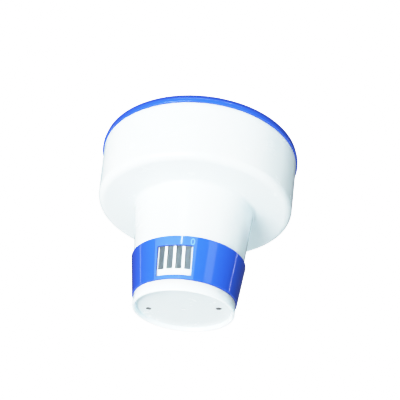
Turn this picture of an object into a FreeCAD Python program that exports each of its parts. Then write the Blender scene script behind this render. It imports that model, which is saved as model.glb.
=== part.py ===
import FreeCAD, Part
import math
import os
import Sketcher
from FreeCAD import Placement, Rotation, Vector

# Floating chlorine dispenser for pool tablets.
# Millimetres, +Z up, origin at the centre of the foot ring the dispenser stands on.
# The float is at the top and the slotted tablet canister points down.
# Each body is drawn on its own axes, then turned about +Z. In the bowl and the dosing ring
# the openings face the body's own +X and -X.

SIZES = [  # alias, value, what it is
    ("rim_rad", 100.0, "outer radius of the cover's skirt"),
    ("band_rad", 99.1, "radius of the band above the skirt"),
    ("skirt_low", 164.2, "lower edge of the cover's skirt"),
    ("skirt_step", 167.6, "step between skirt and band"),
    ("deck_high", 172.0, "outer edge of the deck"),
    ("deck_crown", 174.2, "deck height at the filler neck"),
    ("skin", 2.2, "wall of the float mouldings"),
    ("wall_rad_top", 98.5, "float wall radius under the skirt"),
    ("wall_rad_low", 95.0, "float wall radius at the underside"),
    ("under_z", 105.3, "float underside"),
    ("hull_fillet", 7.0, "round between float wall and underside"),
    ("flare_fillet", 3.2, "round between neck and underside"),
    ("flare_rad", 58.3, "neck radius at the underside"),
    ("rim_inset", 1.1, "step in from the float wall to the bowl's rim"),
    ("rim_thick", 1.5, "thickness of the bowl's rim"),
    ("rim_top", 168.0, "top of the bowl's rim"),
    ("channel_roof", 169.4, "roof of the cover's channel over the rim"),
    ("rim_bead_z", 166.0, "height of the cover's bead and the rim's groove"),
    ("seat_rad_low", 45.9, "canister radius at the ring's lower edge"),
    ("seat_rad_top", 51.8, "canister radius at the ring's upper edge"),
    ("ring_low", 10.6, "dosing ring lower edge"),
    ("ring_high", 49.4, "dosing ring upper edge"),
    ("ring_rad_low", 48.1, "dosing ring outer radius, lower edge"),
    ("ring_rad_top", 54.0, "dosing ring outer radius, upper edge"),
    ("ring_gap", 0.1, "running gap between ring and canister"),
    ("ring_bevel", 0.45, "bevel on the ring's edges"),
    ("window_low", 14.0, "window sill"),
    ("window_high", 41.0, "window head"),
    ("window_half_low", 15.75, "half width of the window at the sill"),
    ("window_half_top", 16.15, "half width of the window at the head"),
    ("window_round", 0.4, "round on the windows' outer edges"),
    ("window_count", 2.0, "windows, also stop rebates and stop tabs"),
    ("slot_round", 0.12, "round on the slots' outer edges"),
    ("panel_angle", 43.0, "angle of the thinned panel round a window"),
    ("panel_depth", 0.35, "depth of the thinned panel"),
    ("slot_low", 20.6, "lower end of the canister slots"),
    ("slot_high", 43.0, "upper end of the canister slots"),
    ("slot_width", 5.1, "slot width"),
    ("slot_pitch", 7.95, "slot spacing"),
    ("base_rad", 46.8, "base cap radius"),
    ("base_fillet", 1.0, "round on the base cap's lower edge"),
    ("base_top", 10.5, "top of the base cap's lip"),
    ("cap_bead_z", 13.0, "height of the base cap's bead and the canister's groove"),
    ("foot_rad", 44.8, "inner radius of the foot ring"),
    ("floor_rad", 43.2, "radius of the recessed floor"),
    ("floor_z", 3.5, "recess of the floor above the foot"),
    ("floor_thick", 2.2, "floor thickness"),
    ("drain_rad", 2.5, "drain hole radius"),
    ("drain_circle", 32.9, "drain holes from the axis"),
    ("rib_height", 3.0, "tablet ribs on the floor"),
    ("rib_width", 1.8, "tablet rib width"),
    ("rib_count", 6.0, "number of tablet ribs"),
    ("tab_angle", 6.0, "angle of the stop tab"),
    ("ring_travel", 45.0, "travel of the dosing ring"),
    ("tube_rad", 57.5, "bore of the filler tube"),
    ("neck_rad", 61.0, "outside of the filler neck"),
    ("neck_top", 184.0, "top of the filler neck"),
    ("lug_angle", 12.0, "length of a neck lug"),
    ("lug_mid", 179.4, "height of the neck lugs"),
    ("lug_half", 0.8, "half height of a neck lug"),
    ("lug_reach", 62.55, "outer radius of the neck lugs"),
    ("lug_count", 3.0, "number of neck lugs and lid grooves"),
    ("thread_lead", 15.0, "rise of the lid in one turn"),
    ("groove_rad", 62.95, "root radius of the lid's grooves"),
    ("groove_half", 1.5, "half height of the lid's grooves"),
    ("groove_before", 10.0, "groove run-in beyond the lid's edge, degrees"),
    ("groove_sweep", 137.5, "angle swept by each groove"),
    ("lid_low", 175.2, "lower edge of the lid"),
    ("lid_high", 189.2, "upper edge of the lid"),
    ("lid_rad_low", 66.0, "lid radius at its lower edge"),
    ("lid_rad_top", 65.2, "lid radius at its upper edge"),
    ("lid_bore", 61.35, "lid bore round the neck"),
    ("lid_fillet", 2.2, "round on the lid's upper edge"),
    ("dish_rad", 57.6, "radius of the lid's dished top"),
    ("dish_z", 188.3, "level of the lid's dished top"),
    ("grip_half", 42.0, "half length of the grip bar between its round ends"),
    ("grip_width_half", 7.5, "half width of the grip bar"),
    ("grip_height", 5.6, "height of the grip bar"),
    ("grip_fillet", 2.4, "round on the grip bar"),
    ("flute_rad", 1.7, "radius of the finger flutes on the lid"),
    ("flute_circle", 66.9, "flutes from the axis"),
    ("flute_count", 30.0, "number of flutes"),
    ("seal_thick", 2.0, "thickness of the lid seal"),
    ("cord_rad", 1.42, "section radius of the tube seal"),
    ("cord_circle", 61.1, "radius of the tube seal"),
    ("cord_z", 109.0, "height of the tube seal"),
    ("dial_turn", 253.9, "direction of the window about +Z"),
]

ACROSS = 130.0  # length of a cut that passes through both sides of the canister
OVERLAP = 0.3   # how far an added bar starts inside the solid below it
LEAD_IN = 1.0   # how far a cut starts outside the solid


# --- sizes that carry their spreadsheet expression --------------------------------------

class Size:
    """A value together with the sheet expression it comes from."""

    def __init__(self, text, value):
        self.text = text
        self.value = float(value)

    def __add__(self, other):
        other = size(other)
        return Size("(%s + %s)" % (self.text, other.text), self.value + other.value)

    def __sub__(self, other):
        other = size(other)
        return Size("(%s - %s)" % (self.text, other.text), self.value - other.value)

    def __mul__(self, other):
        other = size(other)
        return Size("(%s * %s)" % (self.text, other.text), self.value * other.value)

    def __truediv__(self, other):
        other = size(other)
        return Size("(%s / %s)" % (self.text, other.text), self.value / other.value)

    def __neg__(self):
        return Size("(0 - %s)" % self.text, -self.value)


def size(value):
    return value if isinstance(value, Size) else Size(repr(float(value)), value)


def sin_deg(angle):
    return Size("sin(%s * 1 deg)" % angle.text, math.sin(math.radians(angle.value)))


def cos_deg(angle):
    return Size("cos(%s * 1 deg)" % angle.text, math.cos(math.radians(angle.value)))


class Dims:
    """The sheet's sizes, one attribute for each alias."""

    def __init__(self, sheet):
        for row, (alias, value, words) in enumerate(SIZES, start=1):
            sheet.set("A%d" % row, words)
            sheet.set("B%d" % row, repr(value))
            sheet.setAlias("B%d" % row, alias)
            setattr(self, alias, Size("dims.%s" % alias, value))


doc = FreeCAD.newDocument("floating_dispenser")
dims = Dims(doc.addObject("Spreadsheet::Sheet", "dims"))
doc.recompute()

# Relations shared by several pieces
under_top = dims.under_z + dims.skin
rim_out = dims.wall_rad_top - dims.rim_inset
rim_in = rim_out - dims.rim_thick
ring_slope = (dims.ring_rad_top - dims.ring_rad_low) / (dims.ring_high - dims.ring_low)


def bind(obj, prop, value):
    obj.setExpression(prop, size(value).text)


def drive(obj, prop, value):
    """Set a property and bind it to the sheet."""
    setattr(obj, prop, size(value).value)
    bind(obj, prop, value)


# --- sketches ---------------------------------------------------------------------------

def new_body(label, turn):
    body = doc.addObject("PartDesign::Body", label)
    body.Label = label
    body.Placement = Placement(Vector(0, 0, 0), Rotation(Vector(0, 0, 1), turn.value))
    bind(body, "Placement.Rotation.Angle", turn)
    return body


def origin_feature(body, role):
    for feature in body.Origin.OriginFeatures:
        if feature.Role == role:
            return feature
    raise RuntimeError("no %s in %s" % (role, body.Label))


def new_sketch(body, name, role, level=None):
    sketch = body.newObject("Sketcher::SketchObject", name)
    sketch.AttachmentSupport = (origin_feature(body, role), [""])
    sketch.MapMode = "FlatFace"
    if level is not None:
        sketch.AttachmentOffset = Placement(Vector(0, 0, level.value), Rotation())
        bind(sketch, "AttachmentOffset.Base.z", level)
    return sketch


def constrain(sketch, kind, *where, value):
    """Add a dimension to the sketch and bind it to the sheet."""
    index = sketch.addConstraint(Sketcher.Constraint(kind, *where, value.value))
    bind(sketch, "Constraints[%d]" % index, value)


def place_point(sketch, geo, pos, x, y):
    """Hold a point of the sketch at (x, y), both bound to the sheet."""
    for kind, axis, value in (("DistanceX", -2, size(x)), ("DistanceY", -1, size(y))):
        if abs(value.value) < 1e-9:
            sketch.addConstraint(Sketcher.Constraint("PointOnObject", geo, pos, axis))
        elif value.value > 0:
            constrain(sketch, kind, -1, 1, geo, pos, value=value)
        else:
            constrain(sketch, kind, geo, pos, -1, 1, value=-value)


def outline(sketch, points):
    """A closed outline of straight lines through points held by the sheet."""
    count = len(points)
    first = sketch.GeometryCount
    corners = [Vector(size(x).value, size(y).value, 0) for x, y in points]
    sketch.addGeometry(
        [Part.LineSegment(corners[i], corners[(i + 1) % count]) for i in range(count)], False)
    sketch.addConstraint([
        Sketcher.Constraint("Coincident", first + i, 2, first + (i + 1) % count, 1)
        for i in range(count)])
    for i, (x, y) in enumerate(points):
        place_point(sketch, first + i, 1, x, y)


def outline_sketch(body, name, role, points, level=None):
    sketch = new_sketch(body, name, role, level)
    outline(sketch, points)
    return sketch


def rectangle(x_low, y_low, x_high, y_high):
    return [(x_low, y_low), (x_high, y_low), (x_high, y_high), (x_low, y_high)]


def circle(sketch, x, y, radius):
    x, y, radius = size(x), size(y), size(radius)
    shape = Part.Circle(Vector(x.value, y.value, 0), Vector(0, 0, 1), radius.value)
    geo = sketch.addGeometry(shape, False)
    constrain(sketch, "Radius", geo, value=radius)
    if abs(x.value) < 1e-9 and abs(y.value) < 1e-9:
        sketch.addConstraint(Sketcher.Constraint("Coincident", geo, 3, -1, 1))
    else:
        place_point(sketch, geo, 3, x, y)


# --- solid features ---------------------------------------------------------------------

def checked(base, feature, adds):
    """Recompute, and stop if the feature did not add to or cut from its base."""
    doc.recompute()
    change = feature.Shape.Volume - base.Shape.Volume
    if (change if adds else -change) < 1e-3:
        raise RuntimeError("%s changed the volume by %.4f" % (feature.Name, change))
    return feature


def revolve(body, name, sketch, base=None, angle=None, cuts=False):
    """A full turn, or with a base and an angle a sector centred on the sketch plane."""
    kind = "PartDesign::Groove" if cuts else "PartDesign::Revolution"
    feature = body.newObject(kind, name)
    feature.Profile = sketch
    feature.ReferenceAxis = (sketch, ["V_Axis"])
    feature.Angle = 360.0
    if angle is not None:
        drive(feature, "Angle", angle)
        feature.Midplane = True
    sketch.Visibility = False
    if base is None:
        doc.recompute()
        return feature
    return checked(base, feature, adds=not cuts)


def turned(body, name, points):
    """A turned profile, points given as (radius, height)."""
    return revolve(body, name, outline_sketch(body, name + "_profile", "XZ_Plane", points))


def pad(body, name, sketch, base, length):
    feature = body.newObject("PartDesign::Pad", name)
    feature.Profile = sketch
    drive(feature, "Length", length)
    return checked(base, feature, adds=True)


def pocket_up(body, name, sketch, base, length):
    """Cut upward from a level sketch."""
    feature = body.newObject("PartDesign::Pocket", name)
    feature.Profile = sketch
    feature.Reversed = True
    feature.Length = length
    return checked(base, feature, adds=False)


def pocket_across(body, name, sketch, base):
    """Cut both ways from an upright sketch, through both sides of the piece."""
    feature = body.newObject("PartDesign::Pocket", name)
    feature.Profile = sketch
    feature.SideType = "Symmetric"
    feature.Type = "Length"
    feature.Length = ACROSS
    return checked(base, feature, adds=False)


def pattern(body, name, original, count, adds):
    """Repeat a feature evenly about the body's axis."""
    feature = body.newObject("PartDesign::PolarPattern", name)
    feature.Originals = [original]
    feature.Axis = (origin_feature(body, "Z_Axis"), [""])
    feature.Angle = 360.0
    feature.Occurrences = int(count.value)
    bind(feature, "Occurrences", count)
    body.Tip = feature
    return checked(original, feature, adds)


def fillet(body, name, base, elements, radius):
    feature = body.newObject("PartDesign::Fillet", name)
    feature.Base = (base, elements)
    drive(feature, "Radius", radius)
    base.Visibility = False
    doc.recompute()
    return feature


def ring_edges(shape, rings):
    """Names of the full-circle edges at each (radius, height)."""
    names = []
    for radius, height in rings:
        radius, height = radius.value, size(height).value
        hits = [
            "Edge%d" % i for i, edge in enumerate(shape.Edges, start=1)
            if isinstance(edge.Curve, Part.Circle)
            and abs(edge.Curve.Radius - radius) < 1e-3
            and abs(edge.CenterOfMass.z - height) < 1e-3]
        if not hits:
            raise RuntimeError("no edge at radius %.3f height %.3f" % (radius, height))
        names += hits
    return names


def round_rings(body, solid, rounds):
    """Fillet circular edges in turn; rows are name, fillet radius, [(radius, height)]."""
    for name, radius, rings in rounds:
        solid = fillet(body, name, solid, ring_edges(solid.Shape, rings), radius)
    return solid


def opening_edges(shape, low, high, top_rad):
    """Outer edges of openings cut through a conical wall between two heights.

    top_rad is the wall's outer radius at the height of the dosing ring's upper edge.
    """
    skin_depth = 0.6  # edges deeper in the wall than this are left sharp
    longest = 60.0

    def is_outer(point):
        wall_rad = top_rad.value - ring_slope.value * (dims.ring_high.value - point.z)
        return math.hypot(point.x, point.y) > wall_rad - skin_depth

    names = []
    for i, edge in enumerate(shape.Edges, start=1):
        box = edge.BoundBox
        if box.ZMin < low.value - 0.01 or box.ZMax > high.value + 0.01:
            continue
        if edge.Length > longest:
            continue
        start, end = edge.FirstParameter, edge.LastParameter
        if all(is_outer(edge.valueAt(start + k * (end - start) / 4)) for k in range(5)):
            names.append("Edge%d" % i)
    return names


# --- pieces -----------------------------------------------------------------------------

def build_float_bowl():
    """Float wall, underside, neck and slotted canister in one moulding."""
    body = new_body("float_bowl", dims.dial_turn)
    wall_top = dims.skirt_low - 0.2
    spigot_bore, spigot_rad, spigot_top = 43.0, 45.2, 10.55
    rim_groove = rim_out - 0.4
    rim_z, cap_z = dims.rim_bead_z, dims.cap_bead_z
    solid = turned(body, "bowl_wall", [
        # spigot below the canister, then the outside up to the float wall
        (spigot_bore, 6.1), (spigot_rad, 6.1),
        (spigot_rad, spigot_top), (dims.seat_rad_low, spigot_top),
        (dims.seat_rad_top, dims.ring_high),
        (dims.flare_rad, dims.under_z), (dims.wall_rad_low, dims.under_z),
        (dims.wall_rad_top, wall_top),
        # rim, with a groove round its outside
        (rim_out, wall_top),
        (rim_out, rim_z - 0.7), (rim_groove, rim_z - 0.3),
        (rim_groove, rim_z + 0.3), (rim_out, rim_z + 0.7),
        (rim_out, dims.rim_top), (rim_in, dims.rim_top),
        # inside, with the collar that stands round the filler tube
        (dims.wall_rad_low - dims.skin, under_top),
        (64.9, under_top), (64.7, 118.5), (62.85, 118.5), (62.75, under_top),
        (dims.flare_rad - 1.9, under_top),
        (dims.seat_rad_top - dims.skin, dims.ring_high),
        (44.4, 15.5), (spigot_bore, 15.5),
        # groove round the spigot's bore
        (spigot_bore, cap_z + 0.8), (spigot_bore + 0.4, cap_z + 0.4),
        (spigot_bore + 0.4, cap_z - 0.4), (spigot_bore, cap_z - 0.8),
    ])
    solid = round_rings(body, solid, [
        ("neck_flare", dims.flare_fillet, [(dims.flare_rad, dims.under_z)]),
        ("hull_round", dims.hull_fillet, [(dims.wall_rad_low, dims.under_z)]),
        ("hull_inner_round", dims.hull_fillet - dims.skin,
         [(dims.wall_rad_low - dims.skin, under_top)]),
    ])

    # Four upright slots on each of two opposite sides
    slots = new_sketch(body, "slot_outline", "YZ_Plane")
    half = dims.slot_width / 2
    for step in (-1.5, -0.5, 0.5, 1.5):
        middle = dims.slot_pitch * step
        outline(slots, rectangle(middle - half, dims.slot_low, middle + half, dims.slot_high))
    solid = pocket_across(body, "slots", slots, solid)
    edges = opening_edges(solid.Shape, dims.slot_low, dims.slot_high, dims.seat_rad_top)
    fillet(body, "slot_rounds", solid, edges, dims.slot_round)
    return body


def build_float_cover():
    """Stepped rim, deck, filler tube and neck in one moulding."""
    body = new_body("float_cover", dims.dial_turn)
    skirt_bore = 97.45
    bead_rad = 97.12
    tube_out, tube_low = 59.8, 107.6
    deck_under = dims.deck_crown - 2.2
    bead_z = dims.rim_bead_z
    solid = turned(body, "cover_wall", [
        # skirt, band and deck
        (skirt_bore, dims.skirt_low), (dims.rim_rad, dims.skirt_low),
        (dims.rim_rad, dims.skirt_step),
        (dims.band_rad, dims.skirt_step + 0.3), (dims.band_rad, dims.deck_high),
        (78.0, dims.deck_crown - 0.2), (72.0, dims.deck_crown),
        # filler neck, its bore, and the tube's foot with a flange round it
        (dims.neck_rad, dims.deck_crown), (dims.neck_rad, dims.neck_top),
        (dims.tube_rad, dims.neck_top), (dims.tube_rad, tube_low),
        (59.6, tube_low), (59.6, 110.5), (62.6, 110.5), (62.6, 112.4), (tube_out, 112.4),
        # underside of the deck, and the channel that takes the bowl's rim
        (tube_out, deck_under), (72.0, deck_under), (93.2, 169.8),
        (93.4, 164.8), (95.2, 164.8), (95.4, dims.channel_roof),
        (skirt_bore, dims.channel_roof),
        # bead inside the skirt
        (skirt_bore, bead_z + 0.5), (bead_rad, bead_z + 0.15),
        (bead_rad, bead_z - 0.15), (skirt_bore, bead_z - 0.5),
    ])
    solid = round_rings(body, solid, [
        ("deck_edge", 0.7, [(dims.band_rad, dims.deck_high)]),
        ("skirt_edges", 0.5, [(dims.rim_rad, dims.skirt_low), (dims.rim_rad, dims.skirt_step)]),
        ("neck_root", 0.8, [(dims.neck_rad, dims.deck_crown)]),
        ("neck_lip", 0.5, [(dims.neck_rad, dims.neck_top), (dims.tube_rad, dims.neck_top)]),
    ])
    root_depth = 0.6  # the lugs start this deep in the neck
    sketch = outline_sketch(body, "lug_profile", "XZ_Plane", rectangle(
        dims.neck_rad - root_depth, dims.lug_mid - dims.lug_half,
        dims.lug_reach, dims.lug_mid + dims.lug_half))
    lug = revolve(body, "neck_lug", sketch, solid, dims.lug_angle)
    pattern(body, "neck_lugs", lug, dims.lug_count, adds=True)
    return body


def build_rim_seal():
    """Square cord between the bowl's rim and the cover."""
    body = new_body("rim_seal", dims.dial_turn)
    side_gap, end_gap = 0.05, 0.02
    turned(body, "rim_cord", rectangle(
        rim_in + side_gap, dims.rim_top + end_gap,
        rim_out - side_gap, dims.channel_roof - end_gap))
    return body


def build_tube_seal():
    """Round cord between the filler tube and the bowl's collar."""
    body = new_body("tube_seal", dims.dial_turn)
    sketch = new_sketch(body, "cord_section", "XZ_Plane")
    circle(sketch, dims.cord_circle, dims.cord_z, dims.cord_rad)
    revolve(body, "tube_cord", sketch)
    return body


def build_dosing_ring():
    """Ring that turns on the canister to open or close the slots."""
    body = new_body("dosing_ring", dims.dial_turn)
    low, high, bevel = dims.ring_low, dims.ring_high, dims.ring_bevel
    solid = turned(body, "ring_wall", [
        (dims.seat_rad_low + dims.ring_gap, low),
        (dims.ring_rad_low - bevel, low),
        (dims.ring_rad_low + ring_slope * bevel, low + bevel),
        (dims.ring_rad_top - ring_slope * bevel, high - bevel),
        (dims.ring_rad_top - bevel, high),
        (dims.seat_rad_top + dims.ring_gap, high),
    ])

    # Thinned panels, cut by a sector that runs past the ring above, below and outside
    beyond, outside = 2.0, 60.0
    sketch = outline_sketch(body, "panel_profile", "XZ_Plane", [
        (dims.ring_rad_low - dims.panel_depth - ring_slope * beyond, low - beyond),
        (outside, low - beyond), (outside, high + beyond),
        (dims.ring_rad_top - dims.panel_depth + ring_slope * beyond, high + beyond),
    ])
    panel = revolve(body, "window_panel", sketch, solid, dims.panel_angle, cuts=True)
    solid = pattern(body, "window_panels", panel, dims.window_count, adds=False)

    sketch = outline_sketch(body, "window_outline", "YZ_Plane", [
        (-dims.window_half_low, dims.window_low), (dims.window_half_low, dims.window_low),
        (dims.window_half_top, dims.window_high), (-dims.window_half_top, dims.window_high),
    ])
    solid = pocket_across(body, "windows", sketch, solid)
    edges = opening_edges(solid.Shape, dims.window_low, dims.window_high, dims.ring_rad_top)
    solid = fillet(body, "window_rounds", solid, edges, dims.window_round)

    # Rebates inside the lower edge, midway between the windows, each for one stop tab
    rebate_rad, rebate_height, spare_angle = 46.95, 1.3, 2
    sketch = outline_sketch(body, "rebate_profile", "YZ_Plane", rectangle(
        dims.seat_rad_low - LEAD_IN, low - LEAD_IN, rebate_rad, low + rebate_height))
    sweep = dims.ring_travel + dims.tab_angle + spare_angle
    rebate = revolve(body, "stop_rebate", sketch, solid, sweep, cuts=True)
    pattern(body, "stop_rebates", rebate, dims.window_count, adds=False)
    return body


def build_base_cap():
    """Foot ring, recessed floor with drains, tablet ribs and stop tabs.

    Its own +X points at a stop tab, which sits at one end of the ring's travel.
    """
    tab_offset = dims.ring_travel / 2 + 90  # from the window's direction
    body = new_body("base_cap", dims.dial_turn + tab_offset - 360)
    floor_top = dims.floor_z + dims.floor_thick
    lip_bore, wall_out, channel_floor = 45.3, 42.85, 6.0
    wall_top, bead_rad = 15.0, 43.2
    bead_z = dims.cap_bead_z
    solid = turned(body, "base_wall", [
        # floor underside, foot ring and outer lip
        (0.0, dims.floor_z), (dims.floor_rad, dims.floor_z), (dims.foot_rad, 0.0),
        (dims.base_rad, 0.0), (dims.base_rad, dims.base_top),
        # channel for the bowl's spigot, then the inner wall with a bead round it
        (lip_bore, dims.base_top), (lip_bore, channel_floor), (wall_out, channel_floor),
        (wall_out, bead_z - 0.5), (bead_rad, bead_z - 0.15),
        (bead_rad, bead_z + 0.15), (wall_out, bead_z + 0.5),
        # top and inside of that wall, and the floor
        (42.7, wall_top), (40.8, wall_top), (40.6, floor_top), (0.0, floor_top),
    ])
    solid = round_rings(body, solid, [
        ("foot_round", dims.base_fillet, [(dims.base_rad, 0.0)]),
        ("recess_round", 0.8, [(dims.floor_rad, dims.floor_z)]),
        ("foot_inner_round", 0.25, [(dims.foot_rad, 0.0)]),
        ("lip_round", 0.3, [(dims.base_rad, dims.base_top)]),
    ])

    # Two drains, a quarter turn from the window's direction
    drain_length = 6.0
    sketch = new_sketch(body, "drain_outline", "XY_Plane", dims.floor_z - LEAD_IN)
    angle = size(90) - tab_offset
    x = dims.drain_circle * cos_deg(angle)
    y = dims.drain_circle * sin_deg(angle)
    circle(sketch, x, y, dims.drain_rad)
    circle(sketch, -x, -y, dims.drain_rad)
    solid = pocket_up(body, "drains", sketch, solid, drain_length)

    # Shallow dimple under the middle of the floor
    dimple_rad, dimple_depth = 2.6, 0.35
    sketch = new_sketch(body, "gate_outline", "XY_Plane", dims.floor_z - LEAD_IN)
    circle(sketch, 0.0, 0.0, dimple_rad)
    solid = pocket_up(body, "gate_dimple", sketch, solid, LEAD_IN + dimple_depth)

    rib_start, rib_end = 12.0, 39.5
    half = dims.rib_width / 2
    sketch = outline_sketch(body, "rib_outline", "XY_Plane",
                            rectangle(rib_start, -half, rib_end, half), floor_top - OVERLAP)
    rib = pad(body, "tablet_rib", sketch, solid, dims.rib_height + OVERLAP)
    solid = pattern(body, "tablet_ribs", rib, dims.rib_count, adds=True)

    tab_in, tab_out, tab_root, tab_height = 46.12, 46.48, 0.4, 1.0
    sketch = outline_sketch(body, "tab_profile", "XZ_Plane", rectangle(
        tab_in, dims.base_top - tab_root, tab_out, dims.base_top + tab_height))
    tab = revolve(body, "stop_tab", sketch, solid, dims.tab_angle)
    pattern(body, "stop_tabs", tab, dims.window_count, adds=True)
    return body


def build_lid_seal():
    """Flat ring between the neck and the lid."""
    body = new_body("lid_seal", dims.dial_turn)
    overhang_in, overhang_out, neck_gap = 0.3, 0.2, 0.01
    turned(body, "seal_washer", rectangle(
        dims.tube_rad - overhang_in, dims.neck_top + neck_gap,
        dims.neck_rad + overhang_out, dims.neck_top + dims.seal_thick))
    return body


def grip_outline(body):
    """A bar along X with round ends, drawn just below the lid's dished top."""
    sketch = new_sketch(body, "grip_outline", "XY_Plane", dims.dish_z - OVERLAP)
    half, wide = dims.grip_half, dims.grip_width_half
    x, y = half.value, wide.value

    def end_arc(centre_x, start):
        whole = Part.Circle(Vector(centre_x, 0, 0), Vector(0, 0, 1), y)
        return Part.ArcOfCircle(whole, start, start + math.pi)

    sketch.addGeometry([
        Part.LineSegment(Vector(-x, -y, 0), Vector(x, -y, 0)),
        end_arc(x, -math.pi / 2),
        Part.LineSegment(Vector(x, y, 0), Vector(-x, y, 0)),
        end_arc(-x, math.pi / 2),
    ], False)
    sketch.addConstraint([
        Sketcher.Constraint("Coincident", i, 2, (i + 1) % 4, 1) for i in range(4)])
    constrain(sketch, "DistanceX", -1, 1, 1, 3, value=half)
    constrain(sketch, "DistanceX", 3, 3, -1, 1, value=half)
    place_point(sketch, 0, 1, -half, -wide)
    place_point(sketch, 0, 2, half, -wide)
    place_point(sketch, 2, 1, half, wide)
    place_point(sketch, 2, 2, -half, wide)
    return sketch


def build_screw_lid():
    """Fluted lid with a grip bar and quick-thread grooves."""
    body = new_body("screw_lid", dims.dial_turn - dims.groove_before)
    roof = dims.neck_top + dims.seal_thick + 0.03
    lip_low = 181.6
    solid = turned(body, "lid_wall", [
        (dims.lid_bore, dims.lid_low), (dims.lid_rad_low, dims.lid_low),
        (dims.lid_rad_top, dims.lid_high), (dims.dish_rad, dims.lid_high),
        (dims.dish_rad - 0.9, dims.dish_z), (0.0, dims.dish_z), (0.0, roof),
        # lip that hangs inside the filler tube
        (54.8, roof), (55.0, lip_low), (56.9, lip_low), (57.0, roof),
        (dims.lid_bore, roof),
    ])
    solid = round_rings(body, solid, [
        ("lid_edge", dims.lid_fillet, [(dims.lid_rad_top, dims.lid_high)]),
        ("lid_small_edges", 0.5,
         [(dims.dish_rad, dims.lid_high), (dims.lid_rad_low, dims.lid_low)]),
    ])

    grip = pad(body, "grip_bar", grip_outline(body), solid, dims.grip_height + OVERLAP)
    grip_top = (dims.dish_z + dims.grip_height).value
    top_faces = ["Face%d" % i for i, face in enumerate(grip.Shape.Faces, start=1)
                 if abs(face.CenterOfMass.z - grip_top) < 1e-6]
    solid = fillet(body, "grip_round", grip, top_faces, dims.grip_fillet)

    flute_length = 30.0  # runs out above the lid
    sketch = new_sketch(body, "flute_outline", "XY_Plane", dims.lid_low - LEAD_IN)
    circle(sketch, dims.flute_circle, 0.0, dims.flute_rad)
    flute = pocket_up(body, "flute", sketch, solid, flute_length)
    solid = pattern(body, "flutes", flute, dims.flute_count, adds=False)

    # Each groove climbs to lug height at the next lug round from where it starts
    climb_angle = size(360) / dims.lug_count + dims.groove_before
    start_z = dims.lug_mid - dims.thread_lead * climb_angle / 360
    bore_overlap = 0.6
    sketch = outline_sketch(body, "groove_profile", "XZ_Plane", rectangle(
        dims.lid_bore - bore_overlap, start_z - dims.groove_half,
        dims.groove_rad, start_z + dims.groove_half))
    groove = body.newObject("PartDesign::SubtractiveHelix", "thread_groove")
    groove.Profile = sketch
    groove.ReferenceAxis = (sketch, ["V_Axis"])
    groove.Mode = "pitch-height-angle"
    drive(groove, "Pitch", dims.thread_lead)
    drive(groove, "Height", dims.thread_lead * dims.groove_sweep / 360)
    groove.Angle = 0.0
    groove.LeftHanded = False
    groove.Reversed = False
    checked(solid, groove, adds=False)
    pattern(body, "thread_grooves", groove, dims.lug_count, adds=False)
    return body


# --- build, check and write -------------------------------------------------------------

bodies = [
    build_float_bowl(),
    build_float_cover(),
    build_rim_seal(),
    build_tube_seal(),
    build_dosing_ring(),
    build_base_cap(),
    build_lid_seal(),
    build_screw_lid(),
]
doc.recompute()
for obj in doc.Objects:
    if "Invalid" in obj.State or "Error" in obj.State:
        raise RuntimeError("%s (%s) failed: %s" % (obj.Name, obj.TypeId, obj.State))
os.makedirs("parts", exist_ok=True)
for body in bodies:
    shape = body.Shape
    if shape.isNull() or not shape.isValid() or len(shape.Solids) != 1:
        raise RuntimeError("%s is not one valid solid" % body.Label)
    shape.exportStep("parts/%s.step" % body.Label)
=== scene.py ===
import math

import bmesh
import bpy
from mathutils import Matrix, Vector


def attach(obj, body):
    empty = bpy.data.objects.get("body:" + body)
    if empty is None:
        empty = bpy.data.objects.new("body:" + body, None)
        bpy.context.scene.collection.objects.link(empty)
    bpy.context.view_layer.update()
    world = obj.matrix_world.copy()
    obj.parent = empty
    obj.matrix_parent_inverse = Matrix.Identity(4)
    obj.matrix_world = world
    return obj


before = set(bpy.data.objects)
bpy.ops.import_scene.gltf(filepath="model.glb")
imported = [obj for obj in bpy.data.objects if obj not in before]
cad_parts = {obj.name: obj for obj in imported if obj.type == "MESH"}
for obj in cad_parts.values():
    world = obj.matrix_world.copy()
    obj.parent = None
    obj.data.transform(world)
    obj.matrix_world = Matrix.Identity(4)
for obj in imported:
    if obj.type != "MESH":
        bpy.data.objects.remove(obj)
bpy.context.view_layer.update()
scene = bpy.context.scene

# ---------------------------------------------------------------- dimensions
# two windows lie opposite each other, the first in this direction about Z
WINDOW_TURN = math.radians(253.9)
WINDOW_X, WINDOW_Y = math.cos(WINDOW_TURN), math.sin(WINDOW_TURN)

# thinned panels round the ring's windows: half angles where the edge blend starts and ends
PANEL_INNER, PANEL_OUTER = math.radians(21.0), math.radians(22.2)
PANEL_DEPTH = 0.00035

# four slots spread evenly about each window's middle
SLOT_HALF_WIDTH, SLOT_PITCH = 0.00255, 0.00795
SLOT_BOTTOM, SLOT_TOP = 0.0206, 0.0430
SLOT_MARGIN = 0.00004

# two drain holes, the second opposite the first
DRAIN_RADIUS, DRAIN_X, DRAIN_Y = 0.0025, 0.031610, -0.009124
DRAIN_TOP = 0.0060
DRAIN_MARGIN = 0.00006

# the ring's cone
RING_BOTTOM, RING_HEIGHT = 0.0106, 0.0388
RING_BOTTOM_RADIUS, RING_TOP_RADIUS = 0.0481, 0.0540
RING_SLOPE = (RING_TOP_RADIUS - RING_BOTTOM_RADIUS) / RING_HEIGHT

# raised numerals on the panels
NUMERAL_OFFSET = 17.2  # degrees from the window's middle
NUMERAL_MIDDLE, NUMERAL_HEIGHT = 0.0444, 0.0062
NUMERAL_PROUD, NUMERAL_SUNK = 0.00032, 0.0001  # above and below the panel's face
NUMERAL_LONGEST_EDGE = 0.0007  # longer edges are split so that they follow the cone
NUMERAL_BEVEL = 0.00007

FLOOR_Z = -0.0005
FLOOR_RINGS, FLOOR_SIDES = 24, 96

WHITE_POINT = 2.2  # scene brightness that is shown as pure white


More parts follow.
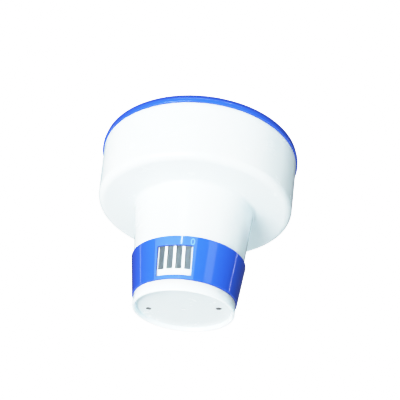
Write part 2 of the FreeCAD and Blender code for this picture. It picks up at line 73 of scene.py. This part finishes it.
# ---------------------------------------------------------------- helpers
class Graph:
    """A small wrapper round the node tree of a material or a world."""

    def __init__(self, owner, output_kind):
        owner.use_nodes = True
        self.owner = owner
        self.tree = owner.node_tree
        self.tree.nodes.clear()
        self.out = self.node(output_kind)

    def feed(self, socket, value):
        if isinstance(value, bpy.types.NodeSocket):
            self.tree.links.new(value, socket)
        else:
            socket.default_value = value

    def node(self, kind, inputs=None, **settings):
        """A node with its settings, and its inputs fed from sockets or plain values."""
        made = self.tree.nodes.new(kind)
        for key, value in settings.items():
            setattr(made, key, value)
        for key, value in (inputs or {}).items():
            self.feed(made.inputs[key], value)
        return made

    def surface(self, shader):
        self.feed(self.out.inputs["Surface"], shader)

    def math(self, operation, *values):
        return self.node("ShaderNodeMath", dict(enumerate(values)), operation=operation).outputs[0]

    def coords(self):
        return self.node("ShaderNodeTexCoord").outputs["Object"]

    def xyz(self, vector):
        return self.node("ShaderNodeSeparateXYZ", {0: vector}).outputs

    def scaled(self, vector, scale):
        return self.node("ShaderNodeMapping", {"Vector": vector, "Scale": scale}).outputs[0]

    def noise(self, vector, scale, detail, rough=0.55):
        inputs = {"Vector": vector, "Scale": scale, "Detail": detail, "Roughness": rough}
        return self.node("ShaderNodeTexNoise", inputs).outputs["Fac"]

    def mix(self, fac, a, b):
        return self.node("ShaderNodeMix", {0: fac, 6: a, 7: b}, data_type="RGBA").outputs[2]

    def span(self, value, low, high, out_low=0.0, out_high=1.0, smooth=True):
        """Maps low..high to out_low..out_high, clamped."""
        inputs = {0: value, 1: low, 2: high, 3: out_low, 4: out_high}
        interpolation = "SMOOTHSTEP" if smooth else "LINEAR"
        made = self.node("ShaderNodeMapRange", inputs, interpolation_type=interpolation)
        return made.outputs[0]

    def bump(self, height, distance, strength, normal=None):
        inputs = {"Strength": strength, "Distance": distance, "Height": height}
        if normal is not None:
            inputs["Normal"] = normal
        return self.node("ShaderNodeBump", inputs).outputs[0]


def material_graph(name):
    return Graph(bpy.data.materials.new(name), "ShaderNodeOutputMaterial")


def add_object(name, data):
    made = bpy.data.objects.new(name, data)
    scene.collection.objects.link(made)
    return made


def paint(obj, material):
    obj.data.materials.clear()
    obj.data.materials.append(material)


# ---------------------------------------------------------------- masks
def distance_along(g, position, x, y):
    """How far a position lies along the level direction (x, y)."""
    return g.math("ADD", g.math("MULTIPLY", position[0], x), g.math("MULTIPLY", position[1], y))


def panel_mask(g, where):
    """1 on the two thinned panels round the ring's windows."""
    position = g.xyz(where)
    along = distance_along(g, position, WINDOW_X, WINDOW_Y)
    across = distance_along(g, position, -WINDOW_Y, WINDOW_X)
    # angle from the window's direction, folded on itself for the second window
    angle = g.math("ARCTAN2", g.math("ABSOLUTE", across), g.math("ABSOLUTE", along))
    return g.span(angle, low=PANEL_OUTER, high=PANEL_INNER)


def band_shade_mask(g, where):
    """1 on the thick band above the cover's skirt, where the blue is painted darker as shade."""
    z = g.xyz(where)[2]
    above_skirt = g.span(z, low=0.1680, high=0.1704)
    below_top = g.span(z, low=0.1722, high=0.1719)
    return g.math("MULTIPLY", above_skirt, below_top)


def slot_flank_shade_mask(g, position):
    """1 on the flanks of the slots, where shade is painted."""
    across = distance_along(g, position, -WINDOW_Y, WINDOW_X)
    # distance from the nearest slot's middle
    folded = g.math("PINGPONG", g.math("ADD", across, 0.0), SLOT_PITCH / 2)
    from_middle = g.math("SUBTRACT", SLOT_PITCH / 2, folded)
    half_width = SLOT_HALF_WIDTH + SLOT_MARGIN
    in_slot = g.math("LESS_THAN", from_middle, half_width)
    half_row = 1.5 * SLOT_PITCH + half_width
    in_row = g.math("LESS_THAN", g.math("ABSOLUTE", across), half_row)
    above = g.math("GREATER_THAN", position[2], SLOT_BOTTOM - SLOT_MARGIN)
    below = g.math("LESS_THAN", position[2], SLOT_TOP + SLOT_MARGIN)
    in_height = g.math("MULTIPLY", above, below)
    return g.math("MULTIPLY", g.math("MULTIPLY", in_slot, in_row), in_height)


def drain_flank_shade_mask(g, position):
    """1 on the flanks of the drain holes, where shade is painted."""
    # turning the -X half onto the +X half lets one test find both holes
    on_plus_x = g.math("GREATER_THAN", position[0], 0.0)
    sign = g.math("MULTIPLY_ADD", on_plus_x, 2.0, -1.0)
    squares = []
    for axis, middle in enumerate((DRAIN_X, DRAIN_Y)):
        offset = g.math("SUBTRACT", g.math("MULTIPLY", position[axis], sign), middle)
        squares.append(g.math("MULTIPLY", offset, offset))
    away = g.math("SQRT", g.math("ADD", *squares))
    in_hole = g.math("LESS_THAN", away, DRAIN_RADIUS + DRAIN_MARGIN)
    return g.math("MULTIPLY", in_hole, g.math("LESS_THAN", position[2], DRAIN_TOP))


# ---------------------------------------------------------------- materials
def add_painted_shade(g, where, colour, crevice_shade):
    """Painted shade: darkens inside corners found by occlusion, and the flanks of the slots and
    drain holes.
    """
    openness = g.node("ShaderNodeAmbientOcclusion", {"Distance": 0.0035}, samples=6).outputs["AO"]
    colour = g.mix(g.span(openness, low=0.75, high=0.25), colour, crevice_shade)
    position = g.xyz(where)
    # painted shade on the flanks of the slots
    colour = g.mix(slot_flank_shade_mask(g, position), colour, (0.42, 0.43, 0.435, 1))
    # painted shade on the flanks of the drain holes
    return g.mix(drain_flank_shade_mask(g, position), colour, (0.26, 0.28, 0.29, 1))


def moulded_normal(g, where):
    """Sink marks, orange peel and fine scratches."""
    peel = g.noise(where, scale=520.0, detail=2.0)
    sink = g.noise(where, scale=38.0, detail=2.0)
    normal = g.bump(sink, distance=0.00012, strength=0.25)
    normal = g.bump(peel, distance=0.00002, strength=0.5, normal=normal)
    lines = g.noise(g.scaled(where, scale=(1.0, 1.0, 14.0)), scale=900.0, detail=2.0)
    scratch = g.span(lines, low=0.66, high=0.74)
    return g.bump(scratch, distance=0.00001, strength=0.35, normal=normal)


def moulded(name, base, deep, pale, roughness, gloss_drift, mask=None, masked=None,
            edge_shade=None, turn_away=(0.12, 0.72), crevice_shade=None, scatter=None):
    """Injection-moulded plastic.

    base drifts to deep and clouds to pale; gloss_drift is how far the roughness wanders.
    mask is a function that finds where the colour is masked. edge_shade is painted shade: a darker
    colour for walls seen edge-on, blended in over the turn_away range. crevice_shade is the
    painted shade colour of inside corners, and scatter the subsurface radius for each colour
    channel.
    """
    g = material_graph(name)
    where = g.coords()
    drift = g.noise(where, scale=14.0, detail=3.0)
    cloud = g.noise(g.scaled(where, scale=(1.0, 1.0, 0.35)), scale=46.0, detail=4.0)
    colour = g.mix(g.span(drift, low=0.32, high=0.68), base, deep)
    cloudy = g.math("MULTIPLY", g.span(cloud, low=0.45, high=0.75), 0.35)
    colour = g.mix(cloudy, colour, pale)
    if mask is not None:
        colour = g.mix(mask(g, where), colour, masked)
    # painted shade: walls seen edge-on are darkened
    if edge_shade is not None:
        facing = g.node("ShaderNodeLayerWeight", {"Blend": 0.5}).outputs["Facing"]
        edge_on = g.span(facing, low=turn_away[0], high=turn_away[1], smooth=False)
        colour = g.mix(edge_on, colour, edge_shade)
    # painted shade in inside corners, on slot flanks and on drain flanks
    if crevice_shade is not None:
        colour = add_painted_shade(g, where, colour, crevice_shade)
    # satin patches from handling and faint streaks that run round the part
    handling = g.noise(where, scale=30.0, detail=5.0, rough=0.65)
    streak = g.noise(g.scaled(where, scale=(6.0, 6.0, 260.0)), scale=9.0, detail=2.0)
    rough = g.math("MULTIPLY_ADD", handling, gloss_drift, roughness - gloss_drift * 0.6)
    rough = g.math("MULTIPLY_ADD", streak, gloss_drift * 0.4, rough)
    inputs = {
        "Base Color": colour,
        "Roughness": rough,
        "IOR": 1.49,
        "Normal": moulded_normal(g, where),
    }
    if scatter is not None:
        inputs["Subsurface Weight"] = 1.0
        inputs["Subsurface Radius"] = scatter
        inputs["Subsurface Scale"] = 1.0
    g.surface(g.node("ShaderNodeBsdfPrincipled", inputs).outputs[0])
    return g.owner


def rubber_material():
    """Black rubber with a grey bloom and a fine grain."""
    g = material_graph("seal_rubber")
    where = g.coords()
    grain = g.noise(where, scale=900.0, detail=3.0)
    bloom = g.noise(where, scale=60.0, detail=4.0)
    bloomed = g.span(bloom, low=0.45, high=0.75)
    shader = g.node("ShaderNodeBsdfPrincipled", {
        "Base Color": g.mix(bloomed, (0.018, 0.018, 0.02, 1), (0.055, 0.055, 0.06, 1)),
        "Roughness": g.math("MULTIPLY_ADD", bloom, 0.2, 0.5),
        "Normal": g.bump(grain, distance=0.00003, strength=0.6),
    })
    g.surface(shader.outputs[0])
    return g.owner


def floor_material():
    """Pale and matt from above, clear from below and towards the rim."""
    g = material_graph("pale_floor")
    where = g.coords()
    grain = g.span(g.noise(where, scale=90.0, detail=4.0), low=0.3, high=0.7)
    matt = g.node("ShaderNodeBsdfPrincipled", {
        "Base Color": g.mix(grain, (0.80, 0.81, 0.82, 1), (0.84, 0.85, 0.86, 1)),
        "Roughness": 0.7,
    })
    clear = g.node("ShaderNodeBsdfTransparent")
    from_below = g.node("ShaderNodeNewGeometry").outputs["Backfacing"]
    radius = g.node("ShaderNodeVectorMath", {0: where}, operation="LENGTH").outputs["Value"]
    fade = g.math("MAXIMUM", from_below, g.span(radius, low=0.45, high=2.3))
    pick = g.node("ShaderNodeMixShader", {0: fade, 1: matt.outputs[0], 2: clear.outputs[0]})
    g.surface(pick.outputs[0])
    return g.owner


BLUE_PLASTIC = dict(
    base=(0.024, 0.12, 0.72, 1),
    deep=(0.021, 0.11, 0.68, 1),
    pale=(0.028, 0.13, 0.76, 1),
    # painted shade for walls seen edge-on
    edge_shade=(0.014, 0.055, 0.42, 1),
    roughness=0.09,
    gloss_drift=0.03,
)

white = moulded(
    "white_moulding",
    base=(0.75, 0.87, 0.93, 1),
    deep=(0.73, 0.855, 0.92, 1),
    pale=(0.77, 0.88, 0.94, 1),
    # painted shade for walls seen edge-on
    edge_shade=(0.40, 0.50, 0.56, 1),
    turn_away=(0.80, 0.99),
    # painted shade for inside corners
    crevice_shade=(0.50, 0.555, 0.58, 1),
    roughness=0.26,
    gloss_drift=0.06,
    scatter=(0.005, 0.005, 0.0053),
)
# painted shade: the cover's top band is darker than the skirt
blue = moulded("blue_moulding", mask=band_shade_mask, masked=(0.009, 0.032, 0.22, 1), **BLUE_PLASTIC)
ring_blue = moulded(
    "ring_moulding", mask=panel_mask, masked=(0.068, 0.175, 0.66, 1), **BLUE_PLASTIC
)
rubber = rubber_material()
# painted highlight: the numerals are the ring's plastic, coloured lighter than the ring's blue
numeral_highlight_blue = moulded(
    "numeral_painted_highlight",
    base=(0.17, 0.33, 0.78, 1),
    deep=(0.15, 0.30, 0.74, 1),
    pale=(0.20, 0.36, 0.80, 1),
    roughness=0.16,
    gloss_drift=0.04,
)

PIECE_MATERIALS = {
    "float_bowl": white,
    "base_cap": white,
    "float_cover": blue,
    "screw_lid": blue,
    "dosing_ring": ring_blue,
    "rim_seal": rubber,
    "tube_seal": rubber,
    "lid_seal": rubber,
}
for piece, material in PIECE_MATERIALS.items():
    paint(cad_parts[piece], material)


# ---------------------------------------------------------------- setting numerals
def text_mesh(name, text):
    """Thick flat text as a mesh, about one unit high."""
    curve = bpy.data.curves.new(name, "FONT")
    curve.body = text
    curve.extrude = 0.5
    curve.offset = 0.022
    curve.resolution_u = 6
    curve.align_x = "CENTER"
    holder = add_object(name + "_text", curve)
    bpy.context.view_layer.update()
    flat = bpy.data.meshes.new_from_object(holder)
    bpy.data.objects.remove(holder)
    bpy.data.curves.remove(curve)
    return flat


def numeral(name, text, turn):
    """Raised text wrapped on the ring's cone, in the direction turn about Z."""
    flat = text_mesh(name, text)
    xs = [v.co.x for v in flat.vertices]
    ys = [v.co.y for v in flat.vertices]
    scale = NUMERAL_HEIGHT / (max(ys) - min(ys))
    middle_x, middle_y = (max(xs) + min(xs)) / 2, (max(ys) + min(ys)) / 2

    shape = bmesh.new()
    shape.from_mesh(flat)
    bpy.data.meshes.remove(flat)
    bmesh.ops.remove_doubles(shape, verts=shape.verts, dist=1e-5)
    long_edges = []
    for edge in shape.edges:
        start, end = (v.co for v in edge.verts)
        level = abs(start.z - end.z) < 1e-6
        if level and (start - end).length * scale > NUMERAL_LONGEST_EDGE:
            long_edges.append(edge)
    if long_edges:
        bmesh.ops.subdivide_edges(shape, edges=long_edges, cuts=3)
    bmesh.ops.triangulate(shape, faces=[f for f in shape.faces if len(f.verts) > 4])

    for v in shape.verts:
        lift = NUMERAL_PROUD if v.co.z > 0 else -NUMERAL_SUNK
        x = (v.co.x - middle_x) * scale
        z = NUMERAL_MIDDLE + (v.co.y - middle_y) * scale
        radius = RING_BOTTOM_RADIUS + RING_SLOPE * (z - RING_BOTTOM) - PANEL_DEPTH + lift
        angle = turn + x / radius
        v.co = Vector((radius * math.cos(angle), radius * math.sin(angle), z))
    bmesh.ops.recalc_face_normals(shape, faces=shape.faces)
    mesh = bpy.data.meshes.new(name)
    shape.to_mesh(mesh)
    shape.free()

    made = add_object(name, mesh)
    soften = made.modifiers.new("soft_edges", "BEVEL")
    soften.width = NUMERAL_BEVEL
    soften.segments = 2
    soften.limit_method = "ANGLE"
    soften.angle_limit = math.radians(50)
    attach(made, "dosing_ring")
    paint(made, numeral_highlight_blue)


for letter, half_turn in (("a", 0), ("b", 180)):
    turn = WINDOW_TURN + math.radians(NUMERAL_OFFSET + half_turn)
    numeral("setting_numeral_" + letter, "0", turn)


# ---------------------------------------------------------------- camera
def add_camera():
    """A camera on the -Y side, below the ground and looking up."""
    elevation, roll = math.radians(-31.954), math.radians(6.801)
    origin_in_view = Vector((-0.00157, -0.10219, -0.63807))  # world origin in camera axes
    back = Vector((0.0, -math.cos(elevation), math.sin(elevation)))
    right = Vector((1.0, 0.0, 0.0))
    up = back.cross(right)
    rolled_right = math.cos(roll) * right + math.sin(roll) * up
    rolled_up = -math.sin(roll) * right + math.cos(roll) * up
    rotation = Matrix((rolled_right, rolled_up, back)).transposed()

    lens = bpy.data.cameras.new("camera")
    lens.sensor_width = 36.0
    lens.lens = 63.3519
    lens.shift_x, lens.shift_y = 0.0382, -0.00115
    lens.clip_start, lens.clip_end = 0.01, 50.0
    camera = add_object("camera", lens)
    camera.matrix_world = Matrix.Translation(-(rotation @ origin_in_view)) @ rotation.to_4x4()
    scene.camera = camera


add_camera()


# ---------------------------------------------------------------- light
def world_lobe(g, way, direction, low, high, out_low, out_high):
    """Brightness that grows from out_low to out_high as a ray turns towards direction."""
    inputs = {0: way, 1: Vector(direction).normalized()}
    dot = g.node("ShaderNodeVectorMath", inputs, operation="DOT_PRODUCT").outputs["Value"]
    return g.span(dot, low, high, out_low, out_high, smooth=False)


def build_world():
    """Bright below, dim in the band that the walls mirror, bright again overhead."""
    scene.world = bpy.data.worlds.new("studio")
    g = Graph(scene.world, "ShaderNodeOutputWorld")
    way = g.node("ShaderNodeTexCoord").outputs["Generated"]
    below = world_lobe(
        g, way, direction=(0.0, 0.0, -1.0), low=-0.02, high=0.42, out_low=0.0, out_high=0.60
    )
    overhead = world_lobe(
        g, way, direction=(0.0, 0.0, 1.0), low=0.72, high=0.95, out_low=0.0, out_high=0.6
    )
    side = world_lobe(
        g, way, direction=(-0.45, -0.88, -0.15), low=-0.6, high=1.0, out_low=0.10, out_high=0.42
    )
    total = g.math("ADD", g.math("ADD", below, overhead), side)
    soft = g.node("ShaderNodeBackground", {"Color": (0.91, 0.97, 1.0, 1.0), "Strength": total})
    # the camera itself sees plain white
    plain = g.node("ShaderNodeBackground", {"Color": (1, 1, 1, 1), "Strength": WHITE_POINT})
    seen = g.node("ShaderNodeLightPath").outputs["Is Camera Ray"]
    pick = g.node("ShaderNodeMixShader", {0: seen, 1: soft.outputs[0], 2: plain.outputs[0]})
    g.surface(pick.outputs[0])


def softbox(name, azimuth, elevation, distance, size, power, colour=(1, 1, 1)):
    """An area light aimed at the body; azimuth 0 is on the camera's side and grows towards +X.

    Angles are in degrees, size is width and height, and power is in watts.
    """
    a, e = math.radians(azimuth), math.radians(elevation)
    way = Vector((math.sin(a) * math.cos(e), -math.cos(a) * math.cos(e), math.sin(e)))
    data = bpy.data.lights.new(name, "AREA")
    data.shape = "RECTANGLE"
    data.size, data.size_y = size
    data.energy = power
    data.color = colour
    lamp = add_object(name, data)
    lamp.location = Vector((0, 0, 0.09)) + way * distance
    lamp.rotation_mode = "QUATERNION"
    lamp.rotation_quaternion = way.to_track_quat("Z", "Y")
    lamp.visible_camera = False
    return lamp


build_world()
softbox("key", azimuth=-34, elevation=-22, distance=1.6, size=(0.8, 0.8), power=52.0)
softbox("fill_right", azimuth=70, elevation=-9, distance=1.7, size=(0.9, 0.7), power=9.0,
        colour=(0.86, 0.95, 1.0))
softbox("overhead", azimuth=0, elevation=80, distance=1.6, size=(1.0, 1.0), power=30.0)
# lights the far side softly, and leaves no glare on the edges that face it
back_fill = softbox(
    "back_fill", azimuth=176, elevation=2, distance=1.8, size=(0.55, 0.5), power=36.0
)
back_fill.visible_glossy = False
softbox("front_strip", azimuth=-18, elevation=16, distance=1.4, size=(0.04, 0.5), power=2.6)
softbox("right_panel", azimuth=42, elevation=17, distance=1.4, size=(0.42, 0.6), power=1.5)
softbox("strip_left", azimuth=-111, elevation=19, distance=1.3, size=(0.035, 0.8), power=0.4)
softbox("strip_right", azimuth=101, elevation=19, distance=1.3, size=(0.025, 0.8), power=0.7)


# ---------------------------------------------------------------- floor
def add_floor():
    """A disc of rings that widen outwards; only the camera sees it, and only from above."""
    shape = bmesh.new()
    centre = shape.verts.new((0, 0, FLOOR_Z))
    inner = None
    for k in range(1, FLOOR_RINGS + 1):
        radius = 0.02 * k * (1 + k / 6)
        outer = []
        for i in range(FLOOR_SIDES):
            angle = i * math.tau / FLOOR_SIDES
            corner = (radius * math.cos(angle), radius * math.sin(angle), FLOOR_Z)
            outer.append(shape.verts.new(corner))
        for i in range(FLOOR_SIDES):
            j = (i + 1) % FLOOR_SIDES
            if inner is None:
                shape.faces.new((centre, outer[i], outer[j]))
            else:
                shape.faces.new((inner[i], outer[i], outer[j], inner[j]))
        inner = outer
    shape.normal_update()
    mesh = bpy.data.meshes.new("floor")
    shape.to_mesh(mesh)
    shape.free()
    floor = add_object("floor", mesh)
    floor.visible_shadow = False
    floor.visible_diffuse = False
    floor.visible_glossy = False
    floor.visible_transmission = False
    paint(floor, floor_material())


add_floor()

# ---------------------------------------------------------------- display
# a soft shoulder, so that bright whites roll off instead of clipping
# scene brightness, shown brightness
SHOULDER = (
    (0.25, 0.25), (0.5, 0.5), (0.7, 0.685),
    (1.0, 0.845), (1.4, 0.93), (1.8, 0.972),
)
view = scene.view_settings
view.view_transform = "Standard"
view.look = "None"
view.exposure = 0.0
view.gamma = 1.0
view.use_curve_mapping = True
mapping = view.curve_mapping
mapping.white_level = (WHITE_POINT, WHITE_POINT, WHITE_POINT)
for brightness, shown in SHOULDER:
    mapping.curves[3].points.new(brightness / WHITE_POINT, shown)
mapping.update()
